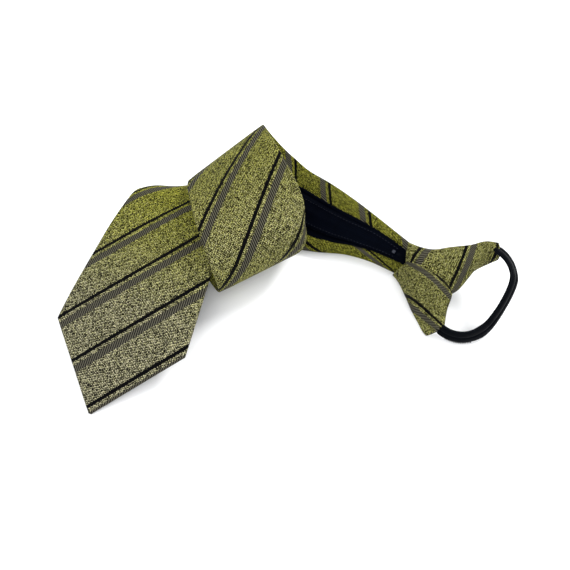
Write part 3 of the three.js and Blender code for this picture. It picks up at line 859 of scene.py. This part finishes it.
# %% Rows of the knot
KNOT_LENGTH, KNOT_SPAN, KNOT_HEIGHT = 46, 62, 32
LOWER_WING = [
    (0.1, -0.085, 0.52, -0.01, -0.13, 0.06, 0.08, 0.08),
    (0.235, -0.1, 0.64, 0.13, -0.165, 0, 0.13, 0.1),
    (0.45, -0.16, 0.76, 0.3, -0.275, 0, 0.18, 0.11),
    (0.65, -0.17, 0.71, 0.45, -0.39, 0, 0.2, 0.11),
    (0.79, -0.19, 0.54, 0.6, -0.485, 0, 0.17, 0.1),
    (0.83, -0.32, 0.38, 0.7, -0.545, 0, 0.13, 0.09),
    (0.9, -0.46, 0.25, 0.76, -0.575, 0.03, 0.08, 0.08)]
UPPER_WING = [
    (0.0, 0.12, 0.58, 0.1, -0.07, 0.42, 0.08, 0.1),
    (0.17, 0.11, 0.63, 0.22, -0.17, 0.46, 0.11, 0.12),
    (0.33, 0.12, 0.71, 0.42, -0.24, 0.48, 0.13, 0.14),
    (0.5, 0.2, 0.79, 0.66, -0.25, 0.42, 0.13, 0.15),
    (0.7, 0.29, 0.87, 0.825, -0.1, 0.41, 0.12, 0.15),
    (0.85, 0.38, 0.94, 0.88, 0.16, 0.47, 0.11, 0.14),
    (0.99, 0.43, 0.93, 1.08, 0.37, 0.62, 0.1, 0.13)]
CORE = [
    (0.12, 0.1, 0.4, 0.1, -0.12, 0.05, 0.08, 0.08),
    (0.32, 0.14, 0.54, 0.3, -0.26, 0, 0.16, 0.3),
    (0.55, 0.22, 0.66, 0.5, -0.4, 0, 0.14, 0.38),
    (0.8, 0.34, 0.76, 0.7, -0.52, 0.04, 0.06, 0.24)]
print("rows of the lower wing, upper wing and core:", len(LOWER_WING), len(UPPER_WING), len(CORE))

# %% [markdown]
# ## The knot's own directions
# The knot carries on in the direction in which the blade ends, so its place and turn come from the laid
# ribbon and follow it when a fold changes. The rows are few, so a smooth curve through them gives the
# sections between.

# %% Points of the knot
blade_end = laid(0, BLADE_LENGTH, 0)
ahead = blade_end - laid(0, BLADE_LENGTH - 1, 0)
knot_turn = math.atan2(ahead[1], ahead[0])


def knot_point(along, across, up):
    c, s = math.cos(knot_turn), math.sin(knot_turn)
    x, y, z = along * KNOT_LENGTH, across * KNOT_SPAN, up * KNOT_HEIGHT
    return np.array([blade_end[0] + x * c - y * s, blade_end[1] + x * s + y * c, z])


def knot_place(points):
    c, s = math.cos(knot_turn), math.sin(knot_turn)
    x, y = points[..., 0] - blade_end[0], points[..., 1] - blade_end[1]
    return x * c + y * s, y * c - x * s, points[..., 2]


def finer_rows(rows, between):
    rows = np.array(rows, float)
    fine = []
    for t in np.linspace(0, len(rows) - 1, (len(rows) - 1) * between + 1):
        at = min(int(t), len(rows) - 2)
        p, q, r, s = (rows[min(max(i, 0), len(rows) - 1)] for i in (at - 1, at, at + 1, at + 2))
        f = t - at
        fine.append(q + 0.5 * f * (r - p + f * (2 * p - 5 * q + 4 * r - s + f * (3 * (q - r) + s - p))))
    return np.array(fine)


print("knot turned by", round(math.degrees(knot_turn), 1), "degrees")

# %% [markdown]
# ## A padded wing
# Each wing is a skin over arched sections between its two edges. The arch rises steeply at the edges and
# is flat in the middle, like cloth pulled over a pad, and a low wave adds creases.

# %% Arched sections and the wing's skin
BETWEEN_ROWS, ARCH_POINTS, CREASE_TURNS, CREASE_LENGTH = 12, 33, 14, 5


def unit(vectors):
    return vectors / np.linalg.norm(vectors, axis=-1, keepdims=True)


def arched(rows, folds):
    fine = finer_rows(rows, BETWEEN_ROWS)
    left, right = (np.array([knot_point(*row[n:n + 3]) for row in fine]) for n in (0, 3))
    middle, chord = (left + right) / 2, right - left
    out = unit(np.cross(chord, unit(np.gradient(middle, axis=0))))
    out *= np.where(out[:, 2:] < 0, -1, 1)
    walked = walk(middle)
    t = 0.5 - 0.5 * np.cos(math.pi * np.linspace(0, 1, ARCH_POINTS))
    arch = np.sqrt(np.sin(math.pi * t))
    crease = folds * np.sin(t * CREASE_TURNS + walked[:, None] / CREASE_LENGTH) * np.sin(math.pi * t)
    level = left[:, None] + chord[:, None] * t[None, :, None]
    outside = level + out[:, None] * (fine[:, 6, None] * KNOT_HEIGHT * arch + crease)[..., None]
    inside = level - out[:, None] * (fine[:, 7, None] * KNOT_HEIGHT * arch)[..., None]
    ring = np.concatenate([outside, inside[:, 1:-1][:, ::-1]], 1)
    ring[..., 2] = np.maximum(ring[..., 2], FLOOR_GAP)
    return ring, walked


def wing(name, rows, material, cloth_of, folds=0.0):
    ring, walked = arched(rows, folds)
    girth = np.cumsum(np.linalg.norm(np.diff(ring, axis=1), axis=2), 1)
    girth = np.concatenate([np.zeros((len(ring), 1)), girth], 1)
    from_middle = girth - girth[:, ARCH_POINTS - 1, None] / 2
    along = np.broadcast_to(walked[:, None], girth.shape)
    return skin(name, ring, cloth_of(along, from_middle, knot_place(ring)), material)


print("sections of the upper wing:", len(arched(UPPER_WING, 0.0)[0]))

# %% [markdown]
# ## Stripes on the knot
# On the real knot each wrap crosses at its own angle. So each piece says how far across the stripes (p)
# and along them (q) a point lies. On the upper wing and the core this follows the piece's own length and
# width. On the lower wing the stripes run straight over the folded cloth, so there the place in the knot
# is used instead.

# %% The knot's three pieces
UPPER_SHIFT, LOWER_SHIFT = 7, 18.34
line_place = STRIPE_START / ACROSS


def on_cloth(p, q):
    return np.stack([(q - LEAN * p) / ACROSS, (p + LEAN * q) / ACROSS], -1)


def upper_cloth(s, t, place):
    return on_cloth(line_place + UPPER_SHIFT - 1.055 * s - 0.17 * t, t - 0.17 * s)


def lower_cloth(s, t, place):
    x, y, z = place
    return on_cloth(line_place + LOWER_SHIFT + 0.398 * x + 1.345 * y + 0.537 * z, 1.2 * x - 0.36 * y)


def core_cloth(s, t, place):
    return on_cloth(line_place - t, s)


upper_wing = wing("upper_wing", UPPER_WING, knot_cloth_painted_shade, upper_cloth, 0.15)
lower_wing = wing("lower_wing", LOWER_WING, knot_cloth_painted_shade, lower_cloth, 0.25)
core = wing("knot_core_cloth", CORE, knot_cloth_painted_shade, core_cloth)
for piece, node in [(upper_wing, "knot_wing_upper"), (lower_wing, "knot_wing_lower"), (core, "knot_core")]:
    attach(piece, "root")
    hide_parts(node)
print("knot faces:", sum(len(o.data.polygons) for o in (upper_wing, lower_wing, core)))

# %% [markdown]
# ## The path of the neck band
# The ring is a folded black tape, stiffer than the cloth. It leaves the upper wing, comes down to the
# table and goes into the lower wing. Seen from above its path is part of an ellipse, and its height
# follows a soft step. The tape lies nearly flat at the upper wing and stands up more and more as it comes
# down, which is the twist of the real band.

# %% Ring path
RING_DEPTH, RING_SPAN, RING_LOW, RING_HIGH = 19.5, 53.4, 5, 28
RING_AHEAD, RING_ASIDE, RISE_SPAN = 0.965, -0.055, (-0.4, 0.5)
LEAN_PLACES = [-110, -85, -55, -35, 0, 40, 70, 90]
BAND_LEANS = [14, 14, 20, 34, 30, 46, 62, 68]


def ring_point(degrees):
    angle = math.radians(degrees)
    up = RING_LOW + (RING_HIGH - RING_LOW) * ease(math.sin(angle), *RISE_SPAN)
    x = RING_AHEAD * KNOT_LENGTH + RING_DEPTH * math.cos(angle)
    y = RING_ASIDE * KNOT_SPAN + RING_SPAN / 2 * math.sin(angle)
    return knot_point(x / KNOT_LENGTH, y / KNOT_SPAN, up / KNOT_HEIGHT)


def ring_axes(degrees):
    way = unit(ring_point(degrees - 1) - ring_point(degrees + 1))
    level = unit(np.cross(way, [0, 0, 1]))
    above = np.cross(level, way)
    lean = math.radians(np.interp(degrees, LEAN_PLACES, BAND_LEANS))
    wide = -above * math.cos(lean) - level * math.sin(lean)
    return wide, np.cross(wide, way)


print("ring's far side, mm:", ring_point(0).round(1))

# %% [markdown]
# ## The neck band
# The tape's section has a groove along the middle, where its two layers are sewn, and rolled edges. It is
# swept along the path. Both ends are pinched where they go into the wings, so that no corner of the tape
# pokes out beside a wing.

# %% Band
BAND_WIDTH, BAND_THICKNESS, BAND_POINTS, BAND_STEPS = 8, 2.8, 25, 200
BAND_FROM, BAND_TO = 88, -110
LOWER_PINCH, LOWER_PINCH_SPAN = 0.5, (101, 109)
UPPER_PINCH, UPPER_PINCH_SPAN = 0.4, (80, 88)


def band_section():
    t = np.linspace(-1, 1, BAND_POINTS)
    groove, seams = 0.32 * np.exp(-(t / 0.16) ** 2), 0.1 * np.exp(-((np.abs(t) - 0.72) / 0.07) ** 2)
    face = BAND_THICKNESS / 2 * (1 - groove - seams) * (1 - np.abs(t) ** 6) ** 0.5
    top = np.stack([t * BAND_WIDTH / 2, face], -1)
    return np.concatenate([top, (top * [1, -1])[1:-1][::-1]])


def sweep(name, section, degrees, material):
    rows = []
    for at in degrees:
        wide, thin = ring_axes(at)
        pinch = 1 - LOWER_PINCH * ease(-at, *LOWER_PINCH_SPAN) - UPPER_PINCH * ease(at, *UPPER_PINCH_SPAN)
        rows.append(ring_point(at) + pinch * (section[:, :1] * wide + section[:, 1:] * thin))
    rows = np.array(rows)
    rows[..., 2] = np.maximum(rows[..., 2], FLOOR_GAP)
    walked = walk(rows.mean(1))
    flat = np.stack(np.broadcast_arrays(walk(section)[None, :], walked[:, None]), -1)
    return skin(name, rows, flat, material), walked[-1]


band, band_length = sweep("neck_band_tape", band_section(), np.linspace(BAND_FROM, BAND_TO, BAND_STEPS), tape)
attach(band, "root")
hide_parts("neck_band")
print("band length, mm:", round(band_length, 1))

# %% [markdown]
# ## Repeats with Geometry Nodes
# Teeth and stitches are one small shape repeated along a line. A node tree takes the line, walks it in
# equal steps, puts a copy of the shape at each step, turned to the line's direction, and makes the copies
# real. The step is a named input, so the same tree serves for both.


# %% A tree that repeats a shape along a line
def repeat_tree():
    tree = bpy.data.node_groups.new("repeat along a line", "GeometryNodeTree")
    for label, kind in [("Line", "Geometry"), ("Step", "Float"), ("Shape", "Object"), ("Finish", "Material")]:
        tree.interface.new_socket(label, in_out="INPUT", socket_type="NodeSocket" + kind)
    tree.interface.new_socket("Copies", in_out="OUTPUT", socket_type="NodeSocketGeometry")
    given, out = tree.nodes.new("NodeGroupInput"), tree.nodes.new("NodeGroupOutput")
    curve = add_node(tree, "GeometryNodeMeshToCurve", {0: given.outputs["Line"]})
    steps = add_node(tree, "GeometryNodeResampleCurve", {
        "Curve": curve.outputs[0], "Length": given.outputs["Step"]}, mode="LENGTH")
    shape = add_node(tree, "GeometryNodeObjectInfo", {"Object": given.outputs["Shape"]})
    tangent = add_node(tree, "GeometryNodeInputTangent")
    turn = add_node(tree, "FunctionNodeAlignRotationToVector", {"Vector": tangent.outputs[0]}, axis="X")
    copies = add_node(tree, "GeometryNodeInstanceOnPoints", {
        "Points": steps.outputs[0], "Instance": shape.outputs["Geometry"], "Rotation": turn.outputs[0]})
    real = add_node(tree, "GeometryNodeRealizeInstances", {0: copies.outputs[0]})
    painted = add_node(tree, "GeometryNodeSetMaterial", {
        "Geometry": real.outputs[0], "Material": given.outputs["Finish"]})
    tree.links.new(painted.outputs[0], out.inputs["Copies"])
    return tree


repeat = repeat_tree()
print("nodes in the repeat tree:", len(repeat.nodes))

# %% [markdown]
# ## The small shape and its carrier
# A tooth or a stitch is smaller than a grain of rice, so three rings of eight points are round enough.
# The line is a mesh of single edges that carries the node tree as a modifier. The finished copies are
# taken off as a plain mesh, and the carrier is removed.

# %% A bead, and a row of beads
BEAD_TURNS, BEAD_RINGS, BEAD_BLUNT = 8, 5, 0.9


def bead(name, size):
    around = np.linspace(0, 2 * math.pi, BEAD_TURNS, endpoint=False)
    rows = []
    for angle in np.linspace(-math.pi / 2, math.pi / 2, BEAD_RINGS)[1:-1]:
        along = np.full(BEAD_TURNS, math.sin(angle) * BEAD_BLUNT)
        rows.append(np.stack([along, np.cos(around) * math.cos(angle), np.sin(around) * math.cos(angle)], -1))
    rows = np.array(rows) * np.array(size) / 2
    return skin(name, rows, np.zeros(rows.shape[:2] + (2,)), plastic)


def repeat_along(name, points, step, shape, finish):
    line = bpy.data.meshes.new(name)
    line.from_pydata((points * MM).tolist(), [(i, i + 1) for i in range(len(points) - 1)], [])
    carrier = bpy.data.objects.new(name + "_line", line)
    bpy.context.scene.collection.objects.link(carrier)
    modifier = carrier.modifiers.new("repeat", "NODES")
    modifier.node_group = repeat
    ids = {item.name: item.identifier for item in repeat.interface.items_tree if item.in_out == "INPUT"}
    modifier[ids["Step"]] = step * MM
    modifier[ids["Shape"]] = shape
    modifier[ids["Finish"]] = finish
    evaluated = carrier.evaluated_get(bpy.context.evaluated_depsgraph_get())
    mesh = bpy.data.meshes.new_from_object(evaluated)
    bpy.data.objects.remove(carrier)
    mesh.polygons.foreach_set("use_smooth", [True] * len(mesh.polygons))
    made = bpy.data.objects.new(name, mesh)
    bpy.context.scene.collection.objects.link(made)
    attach(made, "root")
    return made


tooth = bead("tooth_shape", (0.62, 1.5, 1.1))
stitch = bead("stitch_shape", (1.5, 0.28, 0.28))
print("faces of a tooth and a stitch:", len(tooth.data.polygons), len(stitch.data.polygons))

# %% [markdown]
# ## Teeth on the band and stitches on the tail
# Near the knot the outer edge of the neck band carries the closed zip teeth, so their line is the band's
# own edge, a little further out. The two rows of stitches lie on the cords along the tail tape. The two
# small shapes are removed at the end, since only their copies belong to the tie.

# %% Teeth and stitches
TEETH_FROM, TEETH_TO, TEETH_PLACES, TEETH_OUT, TEETH_FLOOR, TOOTH_STEP = -50, -88, 80, 0.75, 0.8, 0.95
STITCH_STEP, STITCH_HEIGHT, STITCH_INSET, STITCH_PLACES = 2.1, -3.72, 1, 90
teeth_at = np.linspace(TEETH_FROM, TEETH_TO, TEETH_PLACES)
teeth_line = np.array([ring_point(at) + ring_axes(at)[0] * (BAND_WIDTH / 2 + TEETH_OUT) for at in teeth_at])
teeth_line[:, 2] = np.maximum(teeth_line[:, 2], TEETH_FLOOR)
teeth = repeat_along("zip_teeth", teeth_line, TOOTH_STEP, tooth, plastic)
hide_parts("zip_coil")

tail_v = np.linspace(tail_end - TAIL_LENGTH + STITCH_INSET, tail_end - STITCH_INSET, STITCH_PLACES)
for side, label in [(-1, "lower"), (1, "upper")]:
    row = laid(tail_middle(tail_v) + side * EDGE_CORD * tail_half(tail_v), tail_v, STITCH_HEIGHT)
    made = repeat_along(f"tail_stitches_{label}", row, STITCH_STEP, stitch, thread)
for shape in (tooth, stitch):
    bpy.data.objects.remove(shape)
print("teeth faces:", len(teeth.data.polygons), "stitch faces in a row:", len(made.data.polygons))

# %% [markdown]

# %% [markdown]
# ## The table
# The floor is plain and nearly white. It is rough, so it shows the soft shadows but no mirror image.

# %% Floor
floor_mesh = bpy.data.meshes.new("floor")
floor_mesh.from_pydata([(-3, -3, 0), (3, -3, 0), (3, 3, 0), (-3, 3, 0)], [], [(0, 1, 2, 3)])
floor_finish = new_material("pale floor", (0.96, 0.963, 0.967), 0.75, Specular_IOR_Level=0.15)[0]
floor_mesh.materials.append(floor_finish)
floor = bpy.data.objects.new("floor", floor_mesh)
bpy.context.scene.collection.objects.link(floor)
floor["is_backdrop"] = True
print("floor faces:", len(floor_mesh.polygons))

# %% [markdown]
# ## Light
# The shadows on the real table are pale, and fall to the front and left of the knot. So the main lamp is
# small and stands at the back right. A weak large lamp at the back left and a large one in front fill the
# folds, and a bright even sky makes the rest of the light. All lamps look at the middle of the tie.


# %% Lights
def soft_lamp(name, place, size, power, colour):
    data = bpy.data.lights.new(name, "AREA")
    data.shape, data.size, data.energy, data.color = "DISK", size, power, colour
    lamp = bpy.data.objects.new(name, data)
    lamp.location = place
    lamp.rotation_euler = (-lamp.location).to_track_quat("-Z", "Y").to_euler()
    bpy.context.scene.collection.objects.link(lamp)


soft_lamp("back_left_lamp", (-0.65, 0.75, 1.2), 1.8, 3, (1, 0.99, 0.96))
soft_lamp("back_right_lamp", (0.8, 0.6, 0.9), 0.35, 13, (1, 1, 1))
soft_lamp("front_lamp", (-0.4, -1.0, 1.3), 1.8, 13, (1, 1, 1))
SKY_COLOUR, SKY_STRENGTH = (0.97, 0.98, 1, 1), 1.12
sky = bpy.data.worlds.new("soft sky")
bpy.context.scene.world = sky
sky.use_nodes = True
background = sky.node_tree.nodes["Background"]
background.inputs["Color"].default_value = SKY_COLOUR
background.inputs["Strength"].default_value = SKY_STRENGTH
bpy.context.scene.view_settings.view_transform = "Standard"
print("lamps:", [lamp.name for lamp in bpy.data.lights])

# %% [markdown]
# ## Camera
# The camera stands close and high, as the photo's camera did, which makes the near tip look large. The
# lens comes from the ratio of the focal length to the picture's width, both in pixels.

# %% Camera
CAMERA_DISTANCE, CAMERA_ELEVATION, FOCAL_PIXELS, FRAME_PIXELS, SENSOR_WIDTH = 302, 57.3, 480, 570, 36
camera_data = bpy.data.cameras.new("camera")
camera_data.sensor_width = SENSOR_WIDTH
camera_data.lens = FOCAL_PIXELS / FRAME_PIXELS * SENSOR_WIDTH
camera_data.clip_start = 0.01
camera = bpy.data.objects.new("camera", camera_data)
lift = math.radians(CAMERA_ELEVATION)
back, up = CAMERA_DISTANCE * math.cos(lift), CAMERA_DISTANCE * math.sin(lift)
camera.location = (SHIFT[0] * MM, (SHIFT[1] - back) * MM, up * MM)
camera.rotation_euler = (math.pi / 2 - lift, 0, 0)
bpy.context.scene.collection.objects.link(camera)
bpy.context.scene.camera = camera
print("lens, mm:", round(camera_data.lens, 1))

# %% [markdown]
# ## The size of the visual pieces
# The visual pieces should fill the same box as the solid part. Their box is measured here and printed in
# millimetres.

# %% Measure the visual pieces
low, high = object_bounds()
print("visual, mm:", [round(1000 * (b - a), 1) for a, b in zip(low, high)])
